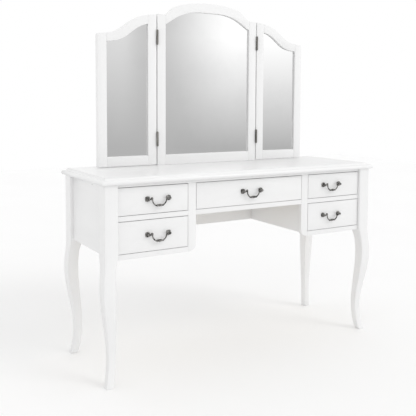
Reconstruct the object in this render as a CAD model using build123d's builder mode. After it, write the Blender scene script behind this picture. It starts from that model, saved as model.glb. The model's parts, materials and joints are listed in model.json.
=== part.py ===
from build123d import *
import os

# A miniature dressing table with five drawers, cabriole legs and a three-part mirror.
# Millimetres, at one twelfth of the full-size piece. X is the width, Y points to the back,
# Z is up, and the origin is on the floor under the middle of the table.

os.makedirs("parts", exist_ok=True)

# Driving dimensions: the table
carcase_width = 103.0  # over the leg posts
carcase_depth = 34.7  # over the leg posts
table_height = 62.1
top_thickness = 2.1
top_overhang = 1.0  # of the moulded nose past the posts
post_width = 4.3
post_depth = 4.8
panel_setback = 1.0  # of an end panel behind the faces of its posts
panel_thickness = 1.2
panel_bottom = 38.95  # lower edge of the end, back and inner side panels
back_setback = 1.5
inner_side_setback = 0.5  # of the inner sides behind the stiles' inner edges
rail_setback = 1.0  # of rails, stiles and drawer fronts behind the front posts
rail_height = 1.55
rail_depth = 3.4
top_rail_height = 0.9
stile_depth = 1.6
kneehole_width = 41.8
stile_width = 2.8
stile_corner_radius = 2.3
upper_opening_height = 8.5
lower_opening_height = 9.75

# Driving dimensions: a leg, as insets from the outer face of its post
knee_height = 30.5
knee_swell = 0.6
knee_size = 3.75
ankle_height = 10.5
ankle_inset = 1.55
ankle_size = 2.45
foot_inset = 0.45
foot_size = 2.35
leg_top = 38.3

# Driving dimensions: the drawers
drawer_gap = 0.16
drawer_front_thickness = 1.5
drawer_length = 28.5  # front and box together
drawer_wall = 0.9
drawer_bottom_thickness = 0.6
drawer_side_clearance = 0.4
running_gap = 0.1  # between a drawer and what it slides on
lower_wall_height = 7.5
upper_wall_height = 6.9
floor_thickness = 1.05
runner_thickness = 1.25
runner_widths = {"inner": 2.3, "outer": 3.1, "kneehole": 2.4}
drawer_bottom_lift = 0.2  # of a drawer's bottom board above the lower edge of its walls

# Driving dimensions: a handle
handle_spacing = 7.0  # between its two posts
handle_height = 0.3  # above the middle of the opening
handle_shift = 1.4  # of a pedestal drawer's handle towards the kneehole, onto the middle of its bay
handle_reach = 1.05  # from the drawer's face to the bail's axis
post_head_radius = 0.45
bail_pin_radius = 0.16
bail_pin_clearance = 0.04
wire_radius = 0.2
bail_drop = 1.95

# Driving dimensions: the mirror
mirror_setback = 28.5  # of the frames' faces behind the front posts
frame_thickness = 2.0
frame_lip = 0.8  # the part of the thickness that is in front of the glass
stile_face = 3.15
bottom_rail_face = 3.5
rabbet_width = 0.7
glass_thickness = 0.25
backing_thickness = 0.6
fit_gap = 0.05  # around a glass or a backing board
centre_half_width = 20.55
wing_width = 21.3
wing_gap = 0.4
wing_lift = 0.3  # of the wings' lower edges above the top
hinge_heights = (71.2, 106.0)
hinge_length = 4.8
knuckle_radius = 0.36
knuckle_bore = 0.19
pin_radius = 0.15
leaf_thickness = 0.12
hinge_proud = 0.35  # of the pin's axis in front of the frames' faces

# Levels and places that follow from them
carcase_top = table_height - top_thickness
upper_high = carcase_top - top_rail_height
upper_low = upper_high - upper_opening_height
lower_high = upper_low - rail_height
lower_low = lower_high - lower_opening_height
pedestal_low = lower_low - rail_height
half_width = carcase_width / 2
half_depth = carcase_depth / 2
post_inner = half_width - post_width
stile_inner = kneehole_width / 2
stile_outer = stile_inner + stile_width
side_inner = stile_inner + inner_side_setback
side_outer = side_inner + panel_thickness
end_outer = half_width - panel_setback
end_inner = end_outer - panel_thickness
front_face = rail_setback - half_depth
stile_back = front_face + stile_depth
rail_back = front_face + rail_depth
back_outer = half_depth - back_setback
back_inner = back_outer - panel_thickness
post_back = post_depth - half_depth


def save(piece, name):
    """Label one finished piece and write it as its own node."""
    piece.part.label = name
    export_step(piece.part, f"parts/{name}.step")


def save_group(pieces, name):
    """Write several touching pieces as separate solids of one node."""
    group = Compound(label=name, children=[piece.part for piece in pieces])
    export_step(group, f"parts/{name}.step")


def board(x, y, z, both_sides=False):
    """A plain board between pairs of limits, with its mirror image if it has one."""
    with BuildPart() as piece:
        with BuildSketch(Plane.XY.offset(z[0])):
            with Locations(((x[0] + x[1]) / 2, (y[0] + y[1]) / 2)):
                Rectangle(x[1] - x[0], y[1] - y[0])
        extrude(amount=z[1] - z[0])
        if both_sides:
            mirror(about=Plane.YZ)
    return piece


def upright(y):
    """The upright plane across the table at y, seen from the front."""
    return Plane.XZ.offset(-y)


# The top: the same moulded outline in both directions, so that its corners are mitred
nose_height = 1.4
ogee_width = 0.62
quirk_width = 0.08
quirk_height = 0.14


def top_outline(half):
    """Cross-section of the top; half is half the carcase in that direction."""
    nose_low = (half, carcase_top)
    nose_high = (half, carcase_top + nose_height)
    ogee_high = (half - ogee_width, table_height - quirk_height)
    quirk = (half - ogee_width - quirk_width, table_height - quirk_height)
    with BuildSketch() as outline:
        with BuildLine():
            Line((0, carcase_top), nose_low)
            ThreePointArc(nose_low, (half + top_overhang, carcase_top + nose_height / 2), nose_high)
            Spline(nose_high, ogee_high, tangents=[(-1, 0.1), (-1, 0.2)])
            Polyline(ogee_high, quirk, (quirk[0], table_height), (0, table_height))
            mirror(about=Plane.YZ)
        make_face()
    return outline.sketch


across_outline = top_outline(half_width)
along_outline = top_outline(half_depth)
with BuildPart() as top:
    with BuildSketch(Plane.XZ):
        add(across_outline)
    extrude(amount=carcase_depth, both=True)
    with BuildSketch(Plane.YZ):
        add(along_outline)
    extrude(amount=carcase_width, both=True, mode=Mode.INTERSECT)
save(top, "top")


# The four legs: square posts above, cabriole below, cut to the same curve in both views
def leg_outline(face, inward, size):
    """One view of a leg. face is its outer post face and inward points to the middle."""

    def at(inset, height):
        return (face + inward * inset, height)

    with BuildSketch() as outline:
        with BuildLine():
            Spline(
                at(0, leg_top),
                at(-knee_swell, knee_height),
                at(ankle_inset, ankle_height),
                at(foot_inset, 0),
                tangents=[(0, -1), (-inward * 0.25, -1)],
            )
            Line(at(foot_inset, 0), at(foot_inset + foot_size, 0))
            Spline(
                at(foot_inset + foot_size, 0),
                at(ankle_inset + ankle_size, ankle_height),
                at(knee_size - knee_swell, knee_height),
                at(size, leg_top),
                tangents=[(inward * 0.3, 1), (inward * 0.45, 1)],
            )
            Polyline(at(size, leg_top), at(size, carcase_top), at(0, carcase_top), at(0, leg_top))
        make_face()
    return outline.sketch


for side_name, side in (("left", -1), ("right", 1)):
    for end_name, end in (("front", -1), ("back", 1)):
        front_view = leg_outline(side * half_width, -side, post_width)
        side_view = leg_outline(end * half_depth, -end, post_depth)
        with BuildPart() as leg:
            with BuildSketch(Plane.XZ):
                add(front_view)
            extrude(amount=carcase_depth, both=True)
            with BuildSketch(Plane.YZ):
                add(side_view)
            extrude(amount=carcase_width, both=True, mode=Mode.INTERSECT)
        save(leg, f"leg_{end_name}_{side_name}")


# Panels
end_panels = board(
    (end_inner, end_outer), (post_back, -post_back), (panel_bottom, carcase_top), both_sides=True
)
save(end_panels, "end_panels")
back_panel = board((-post_inner, post_inner), (back_inner, back_outer), (panel_bottom, carcase_top))
save(back_panel, "back_panel")
inner_sides = board(
    (side_inner, side_outer), (stile_back, back_inner), (panel_bottom, carcase_top), both_sides=True
)
save(inner_sides, "inner_sides")

# Rails across the front
top_rail = board((-post_inner, post_inner), (front_face, stile_back), (upper_high, carcase_top))
save(top_rail, "top_rail")
centre_rail = board((-stile_inner, stile_inner), (front_face, stile_back), (lower_high, upper_low))
save(centre_rail, "centre_rail")
with BuildPart() as pedestal_rails:
    for low in (pedestal_low, lower_high):
        with BuildSketch(Plane.XY.offset(low)):
            with Locations(((stile_outer + post_inner) / 2, (front_face + rail_back) / 2)):
                Rectangle(post_inner - stile_outer, rail_depth)
        extrude(amount=rail_height)
    mirror(about=Plane.YZ)
save(pedestal_rails, "pedestal_rails")

# Stiles between the pedestals and the kneehole, rounded at their lower inner corners
with BuildPart() as stiles:
    with BuildSketch(upright(front_face)):
        with Locations(((stile_inner + stile_outer) / 2, (pedestal_low + upper_high) / 2)):
            Rectangle(stile_width, upper_high - pedestal_low)
    extrude(amount=-stile_depth)
    fillet(stiles.edges().filter_by(Axis.Y).sort_by(Axis.Z)[:2].sort_by(Axis.X)[0], stile_corner_radius)
    mirror(about=Plane.YZ)
save(stiles, "stiles")

# Pedestal floors, notched round the legs
with BuildPart() as pedestal_floors:
    with BuildSketch(Plane.XY.offset(panel_bottom)):
        with Locations(((side_outer + end_inner) / 2, (rail_back + back_inner) / 2)):
            Rectangle(end_inner - side_outer, back_inner - rail_back)
        for y in (-half_depth, half_depth):
            with Locations((half_width, y)):
                Rectangle(2 * post_width, 2 * post_depth, mode=Mode.SUBTRACT)
    extrude(amount=floor_thickness)
    mirror(about=Plane.YZ)
save(pedestal_floors, "pedestal_floors")

# Drawer runners: two in each pedestal for the upper drawer, one on each side of the kneehole
with BuildPart() as drawer_runners:
    for x, y in (
        ((side_outer, side_outer + runner_widths["inner"]), (rail_back, back_inner)),
        ((end_inner - runner_widths["outer"], end_inner), (post_back, -post_back)),
        ((side_inner - runner_widths["kneehole"], side_inner), (stile_back, back_inner)),
    ):
        with BuildSketch(Plane.XY.offset(upper_low - runner_thickness)):
            with Locations(((x[0] + x[1]) / 2, (y[0] + y[1]) / 2)):
                Rectangle(x[1] - x[0], y[1] - y[0])
        extrude(amount=runner_thickness)
    mirror(about=Plane.YZ)
save(drawer_runners, "drawer_runners")

# Handle details
rosette_thickness = 0.22
cross_hole_length = 2.0  # of the bail pin's hole, longer than a post head is wide
petal_radius = 0.42
petal_spread = 0.5
stem_radius = 0.26
screw_radius = 0.2
screw_hole_radius = 0.22
screw_head_radius = 0.48
screw_head_height = 0.25
bail_ball_radius = 0.22
baluster_radius = 0.34
baluster_length = 1.5
neck_inset = 0.68  # of the bail's balls from the middles of the posts
neck_top = (2.34, 0.42)  # across from the middle of the bail, and up from its axis
neck_bottom = (2.25, -0.75)
grip_end = 1.2
bend_radius = 0.3


def handle_posts(x, z, name):
    """Two posts on flower-shaped rosettes, each with its screw through the drawer front."""
    pieces = []
    for side in (-1, 1):
        centre = x + side * handle_spacing / 2
        axis_y = front_face - handle_reach
        with BuildPart() as post:
            with BuildSketch(upright(front_face)):
                with Locations((centre, z)):
                    Circle(petal_spread)
                    with PolarLocations(petal_spread, 4, start_angle=45):
                        Circle(petal_radius)
            extrude(amount=rosette_thickness)
            head_start = axis_y + (post_head_radius**2 - stem_radius**2) ** 0.5
            with BuildSketch(Plane.XY.offset(z)):
                with BuildLine():
                    Polyline(
                        (centre, axis_y - post_head_radius),
                        (centre, front_face),
                        (centre + stem_radius, front_face),
                        (centre + stem_radius, head_start),
                    )
                    ThreePointArc(
                        (centre + stem_radius, head_start),
                        (centre + post_head_radius, axis_y),
                        (centre, axis_y - post_head_radius),
                    )
                make_face()
            revolve(axis=Axis((centre, front_face, z), (0, 1, 0)))
            with Locations(Location((centre, axis_y, z), (0, 90, 0))):
                Cylinder(
                    bail_pin_radius + bail_pin_clearance, cross_hole_length, mode=Mode.SUBTRACT
                )
        with BuildPart() as screw:
            with BuildSketch(upright(front_face)):
                with Locations((centre, z)):
                    Circle(screw_radius)
            extrude(amount=-drawer_front_thickness)
            with BuildSketch(upright(front_face + drawer_front_thickness)):
                with Locations((centre, z)):
                    Circle(screw_head_radius)
            extrude(amount=-screw_head_height)
        pieces += [post, screw]
    save_group(pieces, name)


def bail(x, z, name):
    """The swan-neck wire that hangs between the posts, with a turned grip in its middle."""
    axis_y = front_face - handle_reach
    pin_end = handle_spacing / 2 + post_head_radius
    neck_start = handle_spacing / 2 - neck_inset
    right_half = [(neck_start, 0), neck_top, neck_bottom, (grip_end, -bail_drop)]
    left_half = [(-px, pz) for px, pz in reversed(right_half)]
    bends = [(x + px, z + pz) for px, pz in right_half + left_half]
    with BuildPart() as piece:
        with BuildLine(upright(axis_y)) as wire:
            FilletPolyline(*bends, radius=bend_radius)
        with BuildSketch(Plane(wire.line @ 0, z_dir=wire.line % 0)):
            Circle(wire_radius)
        sweep()
        for side in (-1, 1):
            with Locations((x + side * neck_start, axis_y, z)):
                Sphere(bail_ball_radius)
            with Locations(Location((x + side * (neck_start + pin_end) / 2, axis_y, z), (0, 90, 0))):
                Cylinder(bail_pin_radius, pin_end - neck_start)
        with BuildSketch(Plane((x, axis_y, z - bail_drop), x_dir=(1, 0, 0), z_dir=(0, -1, 0))):
            Ellipse(baluster_length / 2, baluster_radius)
            with Locations((0, -baluster_radius)):
                Rectangle(baluster_length, 2 * baluster_radius, mode=Mode.SUBTRACT)
        revolve(axis=Axis((x, axis_y, z - bail_drop), (1, 0, 0)))
    save(piece, name)


def drawer(x, handle_x, half_opening, low, high, wall_low, wall_height, name):
    """A drawer for the opening from low to high, centred on x, with its handle at handle_x."""
    handle_z = (low + high) / 2 + handle_height
    half_front = half_opening - drawer_gap
    half_box = half_opening - drawer_side_clearance
    front_back = front_face + drawer_front_thickness
    box_back = front_face + drawer_length
    with BuildPart() as front:
        with BuildSketch(upright(front_face)):
            with Locations((x, (low + high) / 2)):
                Rectangle(2 * half_front, high - low - 2 * drawer_gap)
            with Locations(*((handle_x + end * handle_spacing / 2, handle_z) for end in (-1, 1))):
                Circle(screw_hole_radius, mode=Mode.SUBTRACT)
        extrude(amount=-drawer_front_thickness)
    save(front, f"{name}_front")

    inside = half_box - drawer_wall
    walls = (wall_low, wall_low + wall_height)
    left_side = board((x - half_box, x - inside), (front_back, box_back), walls)
    right_side = board((x + inside, x + half_box), (front_back, box_back), walls)
    back = board((x - inside, x + inside), (box_back - drawer_wall, box_back), walls)
    save_group([left_side, right_side, back], f"{name}_walls")

    bottom_low = wall_low + drawer_bottom_lift
    bottom = board(
        (x - inside, x + inside),
        (front_back, box_back - drawer_wall),
        (bottom_low, bottom_low + drawer_bottom_thickness),
    )
    save(bottom, f"{name}_bottom")
    handle_posts(handle_x, handle_z, f"{name}_handle_posts")
    bail(handle_x, handle_z, f"{name}_bail")


pedestal_middle = (stile_outer + post_inner) / 2
pedestal_half = (post_inner - stile_outer) / 2
lower_wall_low = panel_bottom + floor_thickness + running_gap
upper_wall_low = upper_low + running_gap
for side_name, side in (("left", -1), ("right", 1)):
    middle = side * pedestal_middle
    handle_middle = side * (pedestal_middle - handle_shift)
    drawer(
        middle, handle_middle, pedestal_half, upper_low, upper_high,
        upper_wall_low, upper_wall_height, f"drawer_{side_name}_upper",
    )
    drawer(
        middle, handle_middle, pedestal_half, lower_low, lower_high,
        lower_wall_low, lower_wall_height, f"drawer_{side_name}_lower",
    )
drawer(0, 0, stile_inner, upper_low, upper_high, upper_wall_low, upper_wall_height, "drawer_centre")

# The mirror frames: outlines of each frame and of its opening, drawn in the X-Z plane
mirror_face = mirror_setback - half_depth
rabbet_face = mirror_face + frame_lip
mirror_back = mirror_face + frame_thickness
opening_low = table_height + bottom_rail_face
shoulder_height = 114.0
shoulder_width = 17.9
crown_height = 119.0
opening_crown = 115.6
opening_shoulder = 110.6
wing_start = centre_half_width + wing_gap
wing_end = wing_start + wing_width
wing_low = table_height + wing_lift
wing_high = 113.8
wing_shoulder = 106.4
wing_opening_high = 110.3
wing_opening_shoulder = 103.8
wing_corner_radius = 0.9

with BuildSketch() as centre_outline:
    with BuildLine():
        Spline(
            (0, crown_height), (10.2, 118.0), (14.2, 116.4), (shoulder_width, shoulder_height),
            tangents=[(1, 0), (1, -0.15)],
        )
        Polyline(
            (shoulder_width, shoulder_height), (centre_half_width, shoulder_height),
            (centre_half_width, table_height), (0, table_height),
        )
        mirror(about=Plane.YZ)
    make_face()


def centre_gap(grow):
    """The opening of the centre frame, made larger by grow all round."""
    half = centre_half_width - stile_face + grow
    with BuildSketch() as gap:
        with BuildLine():
            Spline(
                (0, opening_crown + grow), (8.6, 115.0 + grow), (12.4, 113.6 + grow),
                (half, opening_shoulder + grow), tangents=[(1, 0), (1, -0.6)],
            )
            Polyline(
                (half, opening_shoulder + grow), (half, opening_low - grow), (0, opening_low - grow)
            )
            mirror(about=Plane.YZ)
        make_face()
    return gap.sketch


with BuildSketch() as wing_outline:
    with BuildLine():
        Spline(
            (wing_start, wing_high), (28.2, 112.2), (32.3, 109.6), (wing_end, wing_shoulder),
            tangents=[(1, -0.08), (1, -0.02)],
        )
        Polyline(
            (wing_end, wing_shoulder), (wing_end, wing_low), (wing_start, wing_low),
            (wing_start, wing_high),
        )
    make_face()
    fillet(wing_outline.vertices().group_by(Axis.X)[-1].sort_by(Axis.Y)[-1], wing_corner_radius)


def wing_opening(grow):
    """The opening of the right wing's frame, made larger by grow all round."""
    near = wing_start + stile_face - grow
    far = wing_end - stile_face + grow
    with BuildSketch() as gap:
        with BuildLine():
            Spline(
                (near, wing_opening_high + grow), (28.0, 108.8 + grow), (31.8, 106.0 + grow),
                (far, wing_opening_shoulder + grow), tangents=[(1, -0.2), (1, -0.08)],
            )
            Polyline(
                (far, wing_opening_shoulder + grow), (far, opening_low - grow),
                (near, opening_low - grow), (near, wing_opening_high + grow),
            )
        make_face()
    return gap.sketch


def frame_members(outline, gap, first, last, reflected, prefix):
    """Stiles, rails, glass and backing of one frame, whose opening runs from first to last."""
    sheet_outline = gap(rabbet_width - fit_gap)
    opening = ((first + last) / 2, last - first)
    layers = (
        (mirror_face, rabbet_face, gap(0)),
        (rabbet_face, mirror_back, gap(rabbet_width)),
    )

    def member(name, low, high, window_mode=Mode.INTERSECT):
        """The part of the frame in the window above the opening's width, or beside it."""
        with BuildPart() as piece:
            for near, far, hole in layers:
                with BuildSketch(upright(near)):
                    add(outline.sketch)
                    add(hole, mode=Mode.SUBTRACT)
                    with Locations((opening[0], (low + high) / 2)):
                        Rectangle(opening[1], high - low, mode=window_mode)
                extrude(amount=near - far)
            if reflected:
                mirror(about=Plane.YZ, mode=Mode.REPLACE)
        save(piece, name)

    halfway = (table_height + crown_height) / 2
    member(f"{prefix}_stiles", 0, 2 * crown_height, window_mode=Mode.SUBTRACT)
    member(f"{prefix}_bottom_rail", 0, halfway)
    member(f"{prefix}_top_rail", halfway, 2 * crown_height)

    near = rabbet_face
    for sheet_name, thickness in (("glass", glass_thickness), ("backing", backing_thickness)):
        with BuildPart() as sheet:
            with BuildSketch(upright(near)):
                add(sheet_outline)
            extrude(amount=-thickness)
            if reflected:
                mirror(about=Plane.YZ, mode=Mode.REPLACE)
        save(sheet, f"{prefix}_{sheet_name}")
        near += thickness


centre_sides = (stile_face - centre_half_width, centre_half_width - stile_face)
frame_members(centre_outline, centre_gap, *centre_sides, False, "mirror")
wing_sides = (wing_start + stile_face, wing_end - stile_face)
frame_members(wing_outline, wing_opening, *wing_sides, True, "wing_left")
frame_members(wing_outline, wing_opening, *wing_sides, False, "wing_right")

# Stays behind the centre frame, standing on the top
stay_width = 2.2
stay_height = 30.0
stay_thickness = 1.4
stay_foot_length = 3.2
stay_foot_height = 1.1
stay_fillet_height = 4.4  # where the curve of the foot meets the upright
stay_fillet_radius = 4.0
stay_screw_heights = (9.0, 26.0)  # above the top
stay_x = centre_half_width - stile_face / 2
with BuildPart() as mirror_stays:
    with BuildSketch(Plane.YZ.offset(stay_x - stay_width / 2)):
        with BuildLine():
            Polyline(
                (mirror_back, table_height),
                (mirror_back + stay_foot_length, table_height),
                (mirror_back + stay_foot_length, table_height + stay_foot_height),
            )
            RadiusArc(
                (mirror_back + stay_foot_length, table_height + stay_foot_height),
                (mirror_back + stay_thickness, table_height + stay_fillet_height),
                stay_fillet_radius,
            )
            Polyline(
                (mirror_back + stay_thickness, table_height + stay_fillet_height),
                (mirror_back + stay_thickness, table_height + stay_height),
                (mirror_back, table_height + stay_height),
                (mirror_back, table_height),
            )
        make_face()
    extrude(amount=stay_width)
    mirror(about=Plane.YZ)
save(mirror_stays, "mirror_stays")

# Screws of the stays: two into each mirror stile and one into the top
stay_screw_head = 0.4
stay_screw_head_height = 0.18
stay_screw_radius = 0.15
stay_screw_length = 2.4
foot_screw_margin = 0.1  # of the screw's head from the end of the foot
foot_screw_y = mirror_back + stay_foot_length - stay_screw_head - foot_screw_margin
with BuildPart() as stay_screws:
    for height in stay_screw_heights:
        with BuildSketch(upright(mirror_back + stay_thickness)):
            with Locations((stay_x, table_height + height)):
                Circle(stay_screw_head)
        extrude(amount=-stay_screw_head_height)
        with BuildSketch(upright(mirror_back + stay_thickness)):
            with Locations((stay_x, table_height + height)):
                Circle(stay_screw_radius)
        extrude(amount=stay_screw_length)
    with BuildSketch(Plane.XY.offset(table_height + stay_foot_height)):
        with Locations((stay_x, foot_screw_y)):
            Circle(stay_screw_head)
    extrude(amount=stay_screw_head_height)
    with BuildSketch(Plane.XY.offset(table_height + stay_foot_height)):
        with Locations((stay_x, foot_screw_y)):
            Circle(stay_screw_radius)
    extrude(amount=-stay_screw_length)
    mirror(about=Plane.YZ)
save(stay_screws, "stay_screws")

# Butt hinges in the gaps between the frames; their pins stand just in front of the faces
hinge_x = centre_half_width + wing_gap / 2
hinge_y = mirror_face - hinge_proud
knuckle_gap = 0.05
knuckle_length = (hinge_length - 2 * knuckle_gap) / 3
leaf_depth = 1.5
leaf_clearance = 0.1  # between a leaf and the other leaf's knuckle
pin_head_radius = 0.26
pin_head_height = 0.15


def hinge_leaves(edge, knuckle_places):
    """Both leaves against one frame edge of the right-hand gap; edge is -1 fixed, 1 wing."""
    plate_x = hinge_x + edge * (wing_gap - leaf_thickness) / 2
    web_depth = knuckle_radius + leaf_clearance
    with BuildPart() as leaves:
        for height in hinge_heights:
            with BuildSketch(Plane.XY.offset(height - hinge_length / 2)):
                with Locations((plate_x, hinge_y + web_depth + leaf_depth / 2)):
                    Rectangle(leaf_thickness, leaf_depth)
            extrude(amount=hinge_length)
            for place in knuckle_places:
                with BuildSketch(Plane.XY.offset(height + place - knuckle_length / 2)):
                    with Locations((plate_x, hinge_y + web_depth / 2)):
                        Rectangle(leaf_thickness, web_depth)
                    with Locations((hinge_x, hinge_y)):
                        Circle(knuckle_radius)
                        Circle(knuckle_bore, mode=Mode.SUBTRACT)
                extrude(amount=knuckle_length)
    return leaves


knuckle_step = knuckle_length + knuckle_gap
fixed_pair = hinge_leaves(-1, (-knuckle_step, knuckle_step))
wing_right_hinge_leaves = hinge_leaves(1, (0.0,))
save(wing_right_hinge_leaves, "wing_right_hinge_leaves")
with BuildPart() as hinge_leaves_fixed:
    add(fixed_pair.part)
    mirror(about=Plane.YZ)
save(hinge_leaves_fixed, "hinge_leaves_fixed")
with BuildPart() as wing_left_hinge_leaves:
    mirror(wing_right_hinge_leaves.part, about=Plane.YZ)
save(wing_left_hinge_leaves, "wing_left_hinge_leaves")

with BuildPart() as hinge_pins:
    for height in hinge_heights:
        with Locations((hinge_x, hinge_y, height)):
            Cylinder(pin_radius, hinge_length)
        for side in (-1, 1):
            with Locations((hinge_x, hinge_y, height + side * (hinge_length + pin_head_height) / 2)):
                Cylinder(pin_head_radius, pin_head_height)
    mirror(about=Plane.YZ)
save(hinge_pins, "hinge_pins")
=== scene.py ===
import json
import math

import bmesh
import bpy
from mathutils import Matrix, Quaternion, Vector


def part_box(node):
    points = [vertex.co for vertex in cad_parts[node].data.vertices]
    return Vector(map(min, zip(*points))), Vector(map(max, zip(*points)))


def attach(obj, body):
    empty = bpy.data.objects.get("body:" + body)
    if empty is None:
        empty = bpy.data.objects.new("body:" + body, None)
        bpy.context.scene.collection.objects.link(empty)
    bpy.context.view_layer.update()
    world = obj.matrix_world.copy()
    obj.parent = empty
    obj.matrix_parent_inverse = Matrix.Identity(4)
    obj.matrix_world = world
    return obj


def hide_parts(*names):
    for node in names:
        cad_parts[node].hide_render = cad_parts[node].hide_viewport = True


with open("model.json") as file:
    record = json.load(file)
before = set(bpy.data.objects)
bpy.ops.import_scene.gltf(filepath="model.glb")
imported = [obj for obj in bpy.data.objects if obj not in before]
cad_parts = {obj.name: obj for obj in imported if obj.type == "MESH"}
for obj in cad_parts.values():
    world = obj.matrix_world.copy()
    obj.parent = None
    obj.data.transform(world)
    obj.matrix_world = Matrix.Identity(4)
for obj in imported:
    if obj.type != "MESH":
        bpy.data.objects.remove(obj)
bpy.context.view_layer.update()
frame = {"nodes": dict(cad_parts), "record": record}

# A white dressing table in miniature: painted wood, silvered mirrors, antique nickel handles.
# Metres, with the front of the table towards -Y and the floor at Z = 0.
MM = 0.001
bodies = frame["record"]["behaviour"]["bodies"]
body_of = {node: body for body, nodes in bodies.items() for node in nodes}
slot_of = {entry["node"]: entry["material_slot"] for entry in frame["record"]["subparts"]}
MERGE = 0.5e-6


# ---------------------------------------------------------------- node trees
def add_node(tree, kind, settings=None, values=(), **inputs):
    """Add a node. An input given as a socket is linked, and anything else is its value."""
    made = tree.nodes.new(kind)
    for name, value in (settings or {}).items():
        setattr(made, name, value)
    named = [(name.replace("_", " "), value) for name, value in inputs.items()]
    for key, value in named + list(enumerate(values)):
        if isinstance(value, bpy.types.NodeSocket):
            tree.links.new(value, made.inputs[key])
        else:
            made.inputs[key].default_value = value
    return made


def math_node(tree, operation, *values):
    """Add one step of arithmetic. Each value is a number or a socket."""
    return add_node(tree, "ShaderNodeMath", {"operation": operation}, values).outputs[0]


def ranged(tree, value, low, high, to_low, to_high, smooth=False):
    """Map value from low..high to to_low..to_high, held at the ends."""
    kind = {"interpolation_type": "SMOOTHSTEP" if smooth else "LINEAR"}
    return add_node(
        tree, "ShaderNodeMapRange", kind,
        Value=value, From_Min=low, From_Max=high, To_Min=to_low, To_Max=to_high,
    ).outputs[0]


def mixed(tree, factor, first, second):
    """Mix two colours."""
    made = add_node(tree, "ShaderNodeMix", {"data_type": "RGBA"})
    for key, value in ((0, factor), (6, first), (7, second)):
        if isinstance(value, bpy.types.NodeSocket):
            tree.links.new(value, made.inputs[key])
        else:
            made.inputs[key].default_value = value
    return made.outputs[2]


def shared_effect(name, inputs):
    """A node group with a Vector, the named inputs, and Color, Roughness and Height outputs."""
    group = bpy.data.node_groups.new(name, "ShaderNodeTree")
    group.interface.new_socket(name="Vector", in_out="INPUT", socket_type="NodeSocketVector")
    for socket, value in inputs.items():
        kind = "NodeSocketFloat" if isinstance(value, float) else "NodeSocketColor"
        made = group.interface.new_socket(name=socket, in_out="INPUT", socket_type=kind)
        made.default_value = value
    group.interface.new_socket(name="Color", in_out="OUTPUT", socket_type="NodeSocketColor")
    group.interface.new_socket(name="Roughness", in_out="OUTPUT", socket_type="NodeSocketFloat")
    group.interface.new_socket(name="Height", in_out="OUTPUT", socket_type="NodeSocketFloat")
    return group, group.nodes.new("NodeGroupInput").outputs, group.nodes.new("NodeGroupOutput")


def finish_effect(group, exit_node, colour, roughness, height):
    """Join an effect's three results to the outputs of its group."""
    group.links.new(colour, exit_node.inputs["Color"])
    group.links.new(roughness, exit_node.inputs["Roughness"])
    group.links.new(height, exit_node.inputs["Height"])
    return group


def painted_film():
    """Sprayed lacquer: slow changes of tone, and the wood's grain just showing through."""
    group, entry, leave = shared_effect(
        "painted film",
        {
            "Paint": (0.9, 0.9, 0.9, 1.0), "Shade": (0.86, 0.86, 0.86, 1.0),
            "Cloud Scale": 90.0, "Grain Scale": 2600.0, "Gloss": 0.34,
        },
    )
    cloud = add_node(
        group, "ShaderNodeTexNoise", Vector=entry["Vector"], Scale=entry["Cloud Scale"], Detail=3.0
    ).outputs[0]
    grain = add_node(
        group, "ShaderNodeTexNoise", Vector=entry["Vector"], Scale=entry["Grain Scale"],
        Detail=4.0, Roughness=0.6, Distortion=0.4,
    ).outputs[0]
    tone = ranged(group, cloud, 0.35, 0.65, 0.0, 1.0, smooth=True)
    thin = ranged(group, grain, 0.62, 0.8, 0.0, 0.35)
    tone = math_node(group, "ADD", math_node(group, "MULTIPLY", tone, 0.6), thin)
    colour = mixed(group, tone, entry["Paint"], entry["Shade"])
    change = math_node(group, "MULTIPLY", math_node(group, "SUBTRACT", grain, 0.5), 0.16)
    slow = math_node(group, "MULTIPLY", math_node(group, "SUBTRACT", cloud, 0.5), 0.2)
    roughness = math_node(
        group, "ADD", entry["Gloss"], math_node(group, "ADD", change, slow)
    )
    return finish_effect(group, leave, colour, roughness, grain)


def wood_grain():
    """Bare wood or board: wavering rings, short dark pores and a little fibre."""
    group, entry, leave = shared_effect(
        "wood grain",
        {
            "Light Wood": (0.7, 0.54, 0.36, 1.0), "Dark Wood": (0.5, 0.34, 0.2, 1.0),
            "Ring Scale": 500.0, "Fibre Scale": 5200.0, "Polish": 0.55,
        },
    )
    rings = add_node(
        group, "ShaderNodeTexWave", {"bands_direction": "X"}, Vector=entry["Vector"],
        Scale=entry["Ring Scale"], Distortion=7.0, Detail=3.0, Detail_Scale=0.8,
    ).outputs["Fac"]
    fibre = add_node(
        group, "ShaderNodeTexNoise", Vector=entry["Vector"], Scale=entry["Fibre Scale"],
        Detail=4.0, Roughness=0.65,
    ).outputs[0]
    pores = ranged(group, fibre, 0.6, 0.72, 0.0, 0.5)
    tone = math_node(group, "ADD", math_node(group, "MULTIPLY", rings, 0.5), pores)
    colour = mixed(group, tone, entry["Light Wood"], entry["Dark Wood"])
    change = math_node(group, "MULTIPLY", math_node(group, "SUBTRACT", fibre, 0.5), 0.3)
    roughness = math_node(group, "ADD", entry["Polish"], change)
    height = math_node(group, "SUBTRACT", fibre, math_node(group, "MULTIPLY", pores, 0.6))
    return finish_effect(group, leave, colour, roughness, height)


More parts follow.
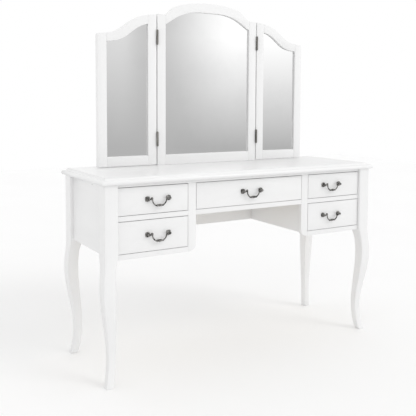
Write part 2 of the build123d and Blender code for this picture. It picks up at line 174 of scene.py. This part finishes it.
def aged_metal():
    """Plated metal: bright where it is handled, dark and duller in the patches between."""
    group, entry, leave = shared_effect(
        "aged metal",
        {
            "Bright": (0.6, 0.58, 0.54, 1.0), "Dark": (0.1, 0.09, 0.08, 1.0),
            "Patch Scale": 1400.0, "Scratch Scale": 9000.0, "Polish": 0.28, "Dulling": 0.18,
        },
    )
    patches = add_node(
        group, "ShaderNodeTexNoise", Vector=entry["Vector"], Scale=entry["Patch Scale"],
        Detail=4.0, Roughness=0.6,
    ).outputs[0]
    scratches = add_node(
        group, "ShaderNodeTexNoise", Vector=entry["Vector"], Scale=entry["Scratch Scale"],
        Detail=2.0,
    ).outputs[0]
    tarnish = ranged(group, patches, 0.4, 0.66, 0.0, 1.0, smooth=True)
    colour = mixed(group, tarnish, entry["Bright"], entry["Dark"])
    dull = math_node(group, "MULTIPLY", tarnish, entry["Dulling"])
    fine = math_node(group, "MULTIPLY", math_node(group, "SUBTRACT", scratches, 0.5), entry["Dulling"])
    roughness = math_node(
        group, "ADD", entry["Polish"], math_node(group, "ADD", dull, fine)
    )
    height = math_node(
        group, "ADD", math_node(group, "MULTIPLY", patches, 0.7),
        math_node(group, "MULTIPLY", scratches, 0.3),
    )
    return finish_effect(group, leave, colour, roughness, height)


def finish_from(effect, name, stretch, bump, depth, values, **shader_values):
    """A material whose colour, roughness and bump come from one shared effect."""
    material = bpy.data.materials.new(name)
    material.use_nodes = True
    tree = material.node_tree
    shader = tree.nodes["Principled BSDF"]
    for socket, value in shader_values.items():
        shader.inputs[socket.replace("_", " ")].default_value = value
    place = add_node(tree, "ShaderNodeTexCoord").outputs["Object"]
    turned = add_node(tree, "ShaderNodeMapping", Vector=place, Scale=stretch).outputs[0]
    layer = add_node(tree, "ShaderNodeGroup", {"node_tree": effect}, Vector=turned, **values)
    relief = add_node(
        tree, "ShaderNodeBump", Strength=bump, Distance=depth, Height=layer.outputs["Height"]
    )
    tree.links.new(layer.outputs["Color"], shader.inputs["Base Color"])
    tree.links.new(layer.outputs["Roughness"], shader.inputs["Roughness"])
    tree.links.new(relief.outputs[0], shader.inputs["Normal"])
    return material


film = painted_film()
grain = wood_grain()
plating = aged_metal()


def white_lacquer(name, stretch):
    """The table's white paint, with its grain along the axis that stretch is smallest on."""
    return finish_from(
        film, name, stretch, 0.16, 0.02 * MM,
        {
            "Paint": (0.866, 0.866, 0.866, 1.0), "Shade": (0.83, 0.83, 0.829, 1.0),
            "Cloud_Scale": 90.0, "Grain_Scale": 2600.0, "Gloss": 0.32,
        },
        Coat_Weight=0.3, Coat_Roughness=0.16,
    )


white_upright = white_lacquer("white lacquer, upright grain", (1.0, 1.0, 0.07))
white_across = white_lacquer("white lacquer, grain across", (0.07, 1.0, 1.0))
white_deep = white_lacquer("white lacquer, grain front to back", (1.0, 0.07, 1.0))

drawer_wood_deep = finish_from(
    grain, "bare wood, grain front to back", (1.0, 0.06, 1.0), 0.5, 0.03 * MM,
    {
        "Light_Wood": (0.8, 0.735, 0.63, 1.0), "Dark_Wood": (0.66, 0.58, 0.47, 1.0),
        "Ring_Scale": 420.0, "Fibre_Scale": 5200.0, "Polish": 0.55,
    },
)
drawer_wood_across = finish_from(
    grain, "bare wood, grain across", (0.06, 1.0, 1.0), 0.5, 0.03 * MM,
    {
        "Light_Wood": (0.78, 0.715, 0.61, 1.0), "Dark_Wood": (0.64, 0.56, 0.45, 1.0),
        "Ring_Scale": 420.0, "Fibre_Scale": 5200.0, "Polish": 0.58,
    },
)
backing_board = finish_from(
    grain, "pressed backing board", (0.5, 1.0, 0.5), 0.6, 0.03 * MM,
    {
        "Light_Wood": (0.3, 0.19, 0.11, 1.0), "Dark_Wood": (0.16, 0.095, 0.055, 1.0),
        "Ring_Scale": 90.0, "Fibre_Scale": 4200.0, "Polish": 0.6,
    },
)
antique_nickel = finish_from(
    plating, "antique nickel", (1.0, 1.0, 1.0), 0.4, 0.03 * MM,
    {
        "Bright": (0.31, 0.304, 0.292, 1.0), "Dark": (0.012, 0.0112, 0.0105, 1.0),
        "Patch_Scale": 1500.0, "Scratch_Scale": 9000.0, "Polish": 0.16, "Dulling": 0.16,
    },
    Metallic=1.0,
)
hinge_steel = finish_from(
    plating, "hinge steel", (1.0, 1.0, 0.1), 0.3, 0.02 * MM,
    {
        "Bright": (0.34, 0.33, 0.31, 1.0), "Dark": (0.12, 0.115, 0.11, 1.0),
        "Patch_Scale": 2200.0, "Scratch_Scale": 9000.0, "Polish": 0.3, "Dulling": 0.14,
    },
    Metallic=1.0,
)
silvering = finish_from(
    plating, "silvered glass", (1.0, 1.0, 1.0), 0.01, 0.0005 * MM,
    {
        "Bright": (0.9, 0.9, 0.9, 1.0), "Dark": (0.875, 0.876, 0.876, 1.0),
        "Patch_Scale": 60.0, "Scratch_Scale": 900.0, "Polish": 0.012, "Dulling": 0.012,
    },
    Metallic=1.0, Coat_Weight=0.4, Coat_Roughness=0.02,
)
studio_floor = finish_from(
    film, "studio floor", (1.0, 1.0, 1.0), 0.05, 0.05 * MM,
    {
        "Paint": (0.97, 0.97, 0.97, 1.0), "Shade": (0.955, 0.955, 0.955, 1.0),
        "Cloud_Scale": 12.0, "Grain_Scale": 400.0, "Gloss": 0.75,
    },
)


def dim_bounce(material, seen, bounced):
    """Keep the floor white to look at, but let it throw back less light on the table."""
    tree = material.node_tree
    shader = tree.nodes["Principled BSDF"]
    colour = shader.inputs["Base Color"].links[0].from_socket
    camera_ray = add_node(tree, "ShaderNodeLightPath").outputs["Is Camera Ray"]
    level = ranged(tree, camera_ray, 0.0, 1.0, bounced, seen)
    scaled = mixed(tree, level, (0.0, 0.0, 0.0, 1.0), colour)
    tree.links.new(scaled, shader.inputs["Base Color"])


dim_bounce(studio_floor, 1.0, 0.9)


# ---------------------------------------------------------------- making pieces
def finished(name, shape, material, body, slot, *nodes):
    """Turn a bmesh into a piece that rides on a body, and hide the CAD nodes it is drawn in place of.
    """
    mesh = bpy.data.meshes.new(name)
    shape.to_mesh(mesh)
    shape.free()
    mesh.materials.append(material)
    mesh.shade_smooth()
    piece = bpy.data.objects.new(name, mesh)
    bpy.context.scene.collection.objects.link(piece)
    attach(piece, body)
    if nodes:
        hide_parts(*nodes)
    return piece


def soften(piece, width, segments=3):
    """Round the piece's sharp edges and keep its flat faces flat."""
    edges = piece.modifiers.new("rounded edges", "BEVEL")
    edges.width = width
    edges.segments = segments
    edges.limit_method = "ANGLE"
    edges.angle_limit = math.radians(32)
    edges.harden_normals = True
    return piece


def merged_copy(node):
    """The mesh of a CAD node with its seams closed and its flat faces made whole."""
    shape = bmesh.new()
    shape.from_mesh(frame["nodes"][node].data)
    bmesh.ops.remove_doubles(shape, verts=shape.verts, dist=MERGE)
    bmesh.ops.dissolve_limit(
        shape, angle_limit=math.radians(0.6), verts=shape.verts, edges=shape.edges
    )
    return shape


def painted_board(node, material, width=0.12 * MM):
    """A CAD board with rounded edges and a real finish."""
    piece = finished(
        f"{node}_finished", merged_copy(node), material, body_of[node], slot_of[node], node
    )
    return soften(piece, width)


# ---------------------------------------------------------------- the legs
LEG_STEPS = 34
LEG_EDGE = 0.32 * MM
LEG_CURVE_TOP = 38.6 * MM  # where the curved part has become the square post


def slice_limits(mesh, height):
    """The rectangle that a level cut through an upright mesh fills."""
    crossings = []
    for edge in mesh.edges:
        low, high = (mesh.vertices[index].co for index in edge.vertices)
        if (low.z - height) * (high.z - height) < 0:
            crossings.append(low.lerp(high, (height - low.z) / (high.z - low.z)))
    xs = [point.x for point in crossings]
    ys = [point.y for point in crossings]
    return Vector((min(xs), min(ys), height)), Vector((max(xs), max(ys), height))


def cabriole_leg(node):
    """A square-sectioned leg drawn up from its foot, with softly rounded arrises."""
    mesh = frame["nodes"][node].data
    low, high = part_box(node)
    sliver = 0.002 * MM
    rise = LEG_CURVE_TOP - low.z
    heights = [low.z + sliver + rise * step / LEG_STEPS for step in range(LEG_STEPS)]
    heights += [LEG_CURVE_TOP, high.z - sliver]
    start_low, start_high = slice_limits(mesh, heights[0])
    shape = bmesh.new()
    bmesh.ops.create_grid(shape, x_segments=1, y_segments=1, size=0.5)
    size = start_high - start_low
    middle = (start_low + start_high) / 2
    bmesh.ops.scale(shape, verts=shape.verts, vec=(size.x, size.y, 1))
    bmesh.ops.translate(shape, verts=shape.verts, vec=(middle.x, middle.y, low.z))
    bmesh.ops.bevel(
        shape, geom=shape.verts, affect="VERTICES", offset=LEG_EDGE, offset_type="OFFSET",
        segments=4, profile=0.5, material=-1,
    )
    face = shape.faces[:][0]
    last_low, last_high = start_low, start_high
    for height in heights[1:]:
        new_low, new_high = slice_limits(mesh, height)
        grown = bmesh.ops.extrude_face_region(shape, geom=[face])
        corners = [item for item in grown["geom"] if isinstance(item, bmesh.types.BMVert)]
        middle = (last_low + last_high) / 2
        low_move = new_low - last_low
        high_move = new_high - last_high
        for corner in corners:
            corner.co.x += low_move.x if corner.co.x < middle.x else high_move.x
            corner.co.y += low_move.y if corner.co.y < middle.y else high_move.y
            corner.co.z = height
        bmesh.ops.delete(shape, geom=[face], context="FACES_ONLY")
        face = next(item for item in grown["geom"] if isinstance(item, bmesh.types.BMFace))
        last_low, last_high = new_low, new_high
    for corner in face.verts:
        corner.co.z = high.z
    bottom_ring = [edge for edge in shape.edges if edge.is_boundary]
    if bottom_ring:
        bmesh.ops.contextual_create(shape, geom=bottom_ring)
    bmesh.ops.recalc_face_normals(shape, faces=shape.faces)
    piece = finished(
        f"{node}_finished", shape, white_upright, body_of[node], slot_of[node], node
    )
    return soften(piece, 0.08 * MM, 2)


for leg in ("leg_front_left", "leg_front_right", "leg_back_left", "leg_back_right"):
    cabriole_leg(leg)

# ---------------------------------------------------------------- boards and frames
painted_board("top", white_across, 0.04 * MM)
for node in ("top_rail", "centre_rail", "pedestal_rails", "back_panel"):
    painted_board(node, white_across, 0.08 * MM)
for node in ("end_panels", "inner_sides"):
    painted_board(node, white_deep, 0.08 * MM)
painted_board("stiles", white_upright, 0.1 * MM)
for node in ("pedestal_floors", "drawer_runners"):
    painted_board(node, drawer_wood_deep, 0.05 * MM)

for frame_name in ("mirror", "wing_left", "wing_right"):
    painted_board(f"{frame_name}_stiles", white_upright, 0.12 * MM)
    painted_board(f"{frame_name}_bottom_rail", white_across, 0.12 * MM)
    painted_board(f"{frame_name}_top_rail", white_across, 0.12 * MM)
    frame["nodes"][f"{frame_name}_glass"].material_slots[0].material = silvering
    frame["nodes"][f"{frame_name}_backing"].material_slots[0].material = backing_board
painted_board("mirror_stays", white_upright, 0.1 * MM)

for node in (
    "stay_screws", "hinge_leaves_fixed", "hinge_pins",
    "wing_left_hinge_leaves", "wing_right_hinge_leaves",
):
    frame["nodes"][node].material_slots[0].material = hinge_steel

# ---------------------------------------------------------------- the drawers
DRAWER_WALL = 0.9 * MM
HANDLE_SPACING = 7.0 * MM
PETAL_SPREAD = 0.52 * MM
PETAL_RADIUS = 0.42 * MM
HEAD_RADIUS = 0.45 * MM
BACK_SCREW_RADIUS = 0.48 * MM
BEAD_SPREAD = 0.72 * MM
BEAD_RADIUS = 0.14 * MM
GRIP_LENGTH = 2.3 * MM
GRIP_DROP = 1.93 * MM
GRIP_STEPS = 28
GRIP_TWIST = math.radians(14)  # at each step
GRIP_END = 0.18  # radius at the ends, in millimetres
GRIP_SWELL = 0.18  # what is added to it in the middle
GRIP_LOBES = 4
LOBE_DEPTH = 0.16
GRIP_CORNERS = 16
COLLAR_PLACE = 1.2 * MM
COLLAR_RADIUS = 0.3 * MM
BALL_PLACE = 2.84 * MM
BALL_RADIUS = 0.24 * MM


def add_board(shape, low, high):
    """Add one square-edged board between two corners."""
    made = bmesh.ops.create_cube(shape, size=1.0)
    bmesh.ops.scale(shape, verts=made["verts"], vec=high - low)
    bmesh.ops.translate(shape, verts=made["verts"], vec=(low + high) / 2)


def drawer_walls(name):
    """The two sides and the back of a drawer, each rounded on its own edges."""
    node = f"{name}_walls"
    low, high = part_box(node)
    shape = bmesh.new()
    add_board(shape, low, Vector((low.x + DRAWER_WALL, high.y, high.z)))
    add_board(shape, Vector((high.x - DRAWER_WALL, low.y, low.z)), high)
    add_board(
        shape, Vector((low.x + DRAWER_WALL, high.y - DRAWER_WALL, low.z)),
        Vector((high.x - DRAWER_WALL, high.y, high.z)),
    )
    piece = finished(
        f"{node}_finished", shape, drawer_wood_deep, body_of[node], slot_of[node], node
    )
    soften(piece, 0.08 * MM, 2)


def turned(shape, profile, centre, steps=24):
    """Spin a profile of (radius, distance out of the drawer) round a post's axis."""
    axis = Vector((0, -1, 0))
    points = [shape.verts.new(centre + Vector((radius, -out, 0))) for radius, out in profile]
    edges = [shape.edges.new(pair) for pair in zip(points, points[1:])]
    bmesh.ops.spin(
        shape, geom=points + edges, cent=centre, axis=axis, angle=2 * math.pi, steps=steps,
        use_merge=True,
    )
    bmesh.ops.remove_doubles(shape, verts=shape.verts, dist=MERGE)


def dome(shape, centre, radius, depth, around=14, across=8):
    """A low dome on the drawer's face."""
    made = bmesh.ops.create_uvsphere(
        shape, u_segments=around, v_segments=across, radius=radius
    )
    bmesh.ops.scale(shape, verts=made["verts"], vec=(1, depth / radius, 1))
    bmesh.ops.translate(shape, verts=made["verts"], vec=centre)


def handle_posts(name):
    """Both posts of a handle: a flower plate, a turned neck and a ball that holds the bail."""
    node = f"{name}_handle_posts"
    low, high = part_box(node)
    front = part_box(f"{name}_front")[0].y
    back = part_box(f"{name}_front")[1].y
    middle = (low + high) / 2
    shape = bmesh.new()
    for side in (-1, 1):
        foot = Vector((middle.x + side * HANDLE_SPACING / 2, front, middle.z))
        for quarter in range(4):
            angle = math.radians(45 + 90 * quarter)
            direction = Vector((math.cos(angle), 0, math.sin(angle)))
            dome(shape, foot + direction * PETAL_SPREAD, PETAL_RADIUS, 0.3 * MM)
            between = Vector((math.cos(angle + math.pi / 4), 0, math.sin(angle + math.pi / 4)))
            dome(shape, foot + between * BEAD_SPREAD, BEAD_RADIUS, 0.22 * MM, 10, 6)
        part = bmesh.new()
        turned(
            part,
            [
                (0.0, 0.02 * MM), (0.46 * MM, 0.02 * MM), (0.48 * MM, 0.3 * MM),
                (0.4 * MM, 0.38 * MM), (0.3 * MM, 0.36 * MM), (0.24 * MM, 0.44 * MM),
                (0.22 * MM, 0.56 * MM), (0.27 * MM, 0.64 * MM),
                (0.4 * MM, 0.82 * MM), (0.45 * MM, 1.0 * MM), (0.43 * MM, 1.18 * MM),
                (0.34 * MM, 1.34 * MM), (0.2 * MM, 1.44 * MM), (0.16 * MM, 1.47 * MM),
                (0.0, 1.5 * MM),
            ],
            foot,
        )
        turned(
            part,
            [
                (0.0, -(back - front)), (BACK_SCREW_RADIUS, -(back - front)),
                (BACK_SCREW_RADIUS, -(back - front) - 0.14 * MM),
                (0.8 * BACK_SCREW_RADIUS, -(back - front) - 0.24 * MM),
                (0.0, -(back - front) - 0.25 * MM),
            ],
            foot,
        )
        bmesh.ops.recalc_face_normals(part, faces=part.faces)
        holder = bpy.data.meshes.new("post")
        part.to_mesh(holder)
        part.free()
        shape.from_mesh(holder)
        bpy.data.meshes.remove(holder)
    finished(
        f"{node}_finished", shape, antique_nickel, body_of[node], slot_of[node], node
    )


def bail(name):
    """The swan-necked wire between the posts, with a twisted grip and two collars."""
    node = f"{name}_bail"
    low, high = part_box(node)
    posts_low, posts_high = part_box(f"{name}_handle_posts")
    middle = (posts_low + posts_high) / 2
    axis = Vector((middle.x, posts_low.y + HEAD_RADIUS, middle.z))
    # Across, up and wire radius in millimetres, from the right-hand post to the middle.
    half = [
        (3.6, 0.0, 0.15), (3.1, 0.0, 0.15), (2.86, 0.06, 0.2), (2.66, 0.5, 0.21),
        (2.25, 0.46, 0.21), (2.36, -0.2, 0.2), (2.2, -0.95, 0.2), (1.7, -1.6, 0.21),
        (1.15, -1.9, 0.22), (0.6, -1.93, 0.22),
    ]
    path = half + [(-x, z, radius) for x, z, radius in reversed(half)]
    wire = bpy.data.curves.new("wire", "CURVE")
    wire.dimensions = "3D"
    wire.bevel_depth = MM
    wire.bevel_resolution = 3
    wire.use_fill_caps = True
    spline = wire.splines.new("NURBS")
    spline.points.add(len(path) - 1)
    for point, (x, z, radius) in zip(spline.points, path):
        point.co = (axis.x + x * MM, axis.y, axis.z + z * MM, 1)
        point.radius = radius
    spline.order_u = 3
    spline.use_endpoint_u = True
    spline.resolution_u = 5
    holder = bpy.data.objects.new("wire", wire)
    tube = bpy.data.meshes.new_from_object(holder)
    shape = bmesh.new()
    shape.from_mesh(tube)
    bpy.data.objects.remove(holder)
    bpy.data.curves.remove(wire)
    bpy.data.meshes.remove(tube)

    grip_low = axis + Vector((-GRIP_LENGTH / 2, 0, -GRIP_DROP))
    grip = bmesh.new()
    ring = bmesh.ops.create_circle(
        grip, cap_ends=True, segments=GRIP_CORNERS, radius=1.0
    )["verts"]
    for index, corner in enumerate(ring):
        lobe = 1.0 + LOBE_DEPTH * math.cos(GRIP_LOBES * 2 * math.pi * index / GRIP_CORNERS)
        corner.co *= lobe
    bmesh.ops.rotate(grip, verts=ring, cent=(0, 0, 0), matrix=Matrix.Rotation(math.pi / 2, 3, "Y"))
    face = grip.faces[:][0]
    section = [corner.co.copy() for corner in face.verts]

    def shaped(verts, step):
        """Place one section of the grip: thin at its ends, swelled in the middle, and turned."""
        along = step / GRIP_STEPS
        bulge = math.sin(math.pi * along) ** 0.8 if 0 < along < 1 else 0.0
        radius = GRIP_END + GRIP_SWELL * bulge
        turn = Matrix.Rotation(GRIP_TWIST * step, 3, "X")
        for corner, first in zip(verts, section):
            corner.co = grip_low + turn @ first * radius * MM + Vector((GRIP_LENGTH * along, 0, 0))

    shaped(face.verts, 0)
    for step in range(1, GRIP_STEPS + 1):
        grown = bmesh.ops.extrude_face_region(grip, geom=[face])
        bmesh.ops.delete(grip, geom=[face], context="FACES_ONLY")
        face = next(item for item in grown["geom"] if isinstance(item, bmesh.types.BMFace))
        shaped(face.verts, step)
    bmesh.ops.recalc_face_normals(grip, faces=grip.faces)
    for side in (-1, 1):
        collar = bmesh.ops.create_uvsphere(
            grip, u_segments=12, v_segments=8, radius=COLLAR_RADIUS
        )
        bmesh.ops.scale(grip, verts=collar["verts"], vec=(0.5, 1, 1))
        bmesh.ops.translate(
            grip, verts=collar["verts"],
            vec=axis + Vector((side * COLLAR_PLACE, 0, -GRIP_DROP)),
        )
        ball = bmesh.ops.create_uvsphere(grip, u_segments=12, v_segments=8, radius=BALL_RADIUS)
        bmesh.ops.translate(
            grip, verts=ball["verts"], vec=axis + Vector((side * BALL_PLACE, 0, 0))
        )
    holder = bpy.data.meshes.new("grip")
    grip.to_mesh(holder)
    grip.free()
    shape.from_mesh(holder)
    bpy.data.meshes.remove(holder)
    finished(
        f"{node}_finished", shape, antique_nickel, body_of[node], slot_of[node], node
    )


for drawer in (
    "drawer_left_upper", "drawer_left_lower", "drawer_centre",
    "drawer_right_upper", "drawer_right_lower",
):
    painted_board(f"{drawer}_front", white_across, 0.14 * MM)
    drawer_walls(drawer)
    painted_board(f"{drawer}_bottom", drawer_wood_across, 0.03 * MM)
    handle_posts(drawer)
    bail(drawer)

# ---------------------------------------------------------------- floor, light and camera
floor_shape = bmesh.new()
bmesh.ops.create_grid(floor_shape, x_segments=2, y_segments=2, size=0.6)
floor_mesh = bpy.data.meshes.new("floor")
floor_shape.to_mesh(floor_mesh)
floor_shape.free()
floor_mesh.materials.append(studio_floor)
floor = bpy.data.objects.new("floor", floor_mesh)
bpy.context.scene.collection.objects.link(floor)

LIGHT_FROM_ROUND = 1.19
LIGHT_FROM_ABOVE = 0.94
LESS_FROM_ENDS = 0.15
LESS_FROM_BEHIND = 0.14


def studio_world():
    """The studio round the table, given separately to each kind of ray.

    What the camera sees directly is white. The mirrors see white behind the table and a soft
    grey-to-white sweep in front of it. All else is lit from all round, and less from above, from
    the ends and from behind.
    """
    world = bpy.data.worlds.new("studio")
    bpy.context.scene.world = world
    world.use_nodes = True
    tree = world.node_tree
    background = tree.nodes["Background"]
    direction = add_node(tree, "ShaderNodeTexCoord").outputs["Generated"]
    split = add_node(tree, "ShaderNodeSeparateXYZ", Vector=direction).outputs
    forward = math_node(tree, "MULTIPLY", split["Y"], -1.0)
    bearing = math_node(tree, "ARCTAN2", split["X"], forward)
    rise = ranged(tree, split["Z"], -0.07, 0.1, 0.0, 1.0)
    right = ranged(tree, bearing, math.radians(26.0), math.radians(33.5), 0.1, 0.61, smooth=True)
    left = ranged(tree, bearing, math.radians(23.0), math.radians(25.5), 0.2, 0.05, smooth=True)
    sweep = math_node(tree, "MULTIPLY", math_node(tree, "ADD", right, left), rise)
    near_floor = ranged(tree, split["Z"], -0.14, -0.085, 0.88, 0.5, smooth=True)
    in_front = math_node(tree, "ADD", sweep, near_floor)
    behind = ranged(tree, split["Y"], 0.0, 0.1, 0.0, 1.0)
    glossy_light = math_node(
        tree, "ADD", math_node(tree, "MULTIPLY", in_front, math_node(tree, "SUBTRACT", 1.0, behind)),
        behind,
    )
    soft_light = ranged(tree, split["Z"], 0.1, 0.9, LIGHT_FROM_ROUND, LIGHT_FROM_ABOVE)
    sideways = math_node(tree, "POWER", split["X"], 2.0)
    sideways = math_node(tree, "MULTIPLY", sideways, LESS_FROM_ENDS)
    soft_light = math_node(tree, "SUBTRACT", soft_light, sideways)
    backward = ranged(tree, split["Y"], 0.0, 1.0, 0.0, LESS_FROM_BEHIND)
    soft_light = math_node(tree, "SUBTRACT", soft_light, backward)
    path = add_node(tree, "ShaderNodeLightPath").outputs
    value = mixed(tree, path["Is Glossy Ray"], soft_light, glossy_light)
    value = mixed(tree, path["Is Camera Ray"], value, (1.0, 1.0, 1.0, 1.0))
    tree.links.new(value, background.inputs["Color"])


studio_world()
key = bpy.data.lights.new("key light", "SUN")
key.energy = 0.37
key.angle = math.radians(22)
key_holder = bpy.data.objects.new("key light", key)
key_holder.rotation_euler = Vector((-0.42, 0.62, -0.66)).to_track_quat("-Z", "Y").to_euler()
bpy.context.scene.collection.objects.link(key_holder)

camera_data = bpy.data.cameras.new("camera")
camera = bpy.data.objects.new("camera", camera_data)
bpy.context.scene.collection.objects.link(camera)
yaw = math.radians(30.88)
pitch = math.radians(-4.06)
roll = math.radians(0.25)
forward = Vector(
    (math.sin(yaw) * math.cos(pitch), math.cos(yaw) * math.cos(pitch), math.sin(pitch))
)
camera.rotation_mode = "QUATERNION"
camera.rotation_quaternion = forward.to_track_quat("-Z", "Y") @ Quaternion((0, 0, 1), roll)
camera.location = (-118.1 * MM, -185.9 * MM, 83.8 * MM)
camera_data.lens = 54.95
camera_data.shift_y = -0.145
camera_data.clip_start = 0.005
bpy.context.scene.camera = camera
bpy.context.scene.view_settings.view_transform = "Standard"
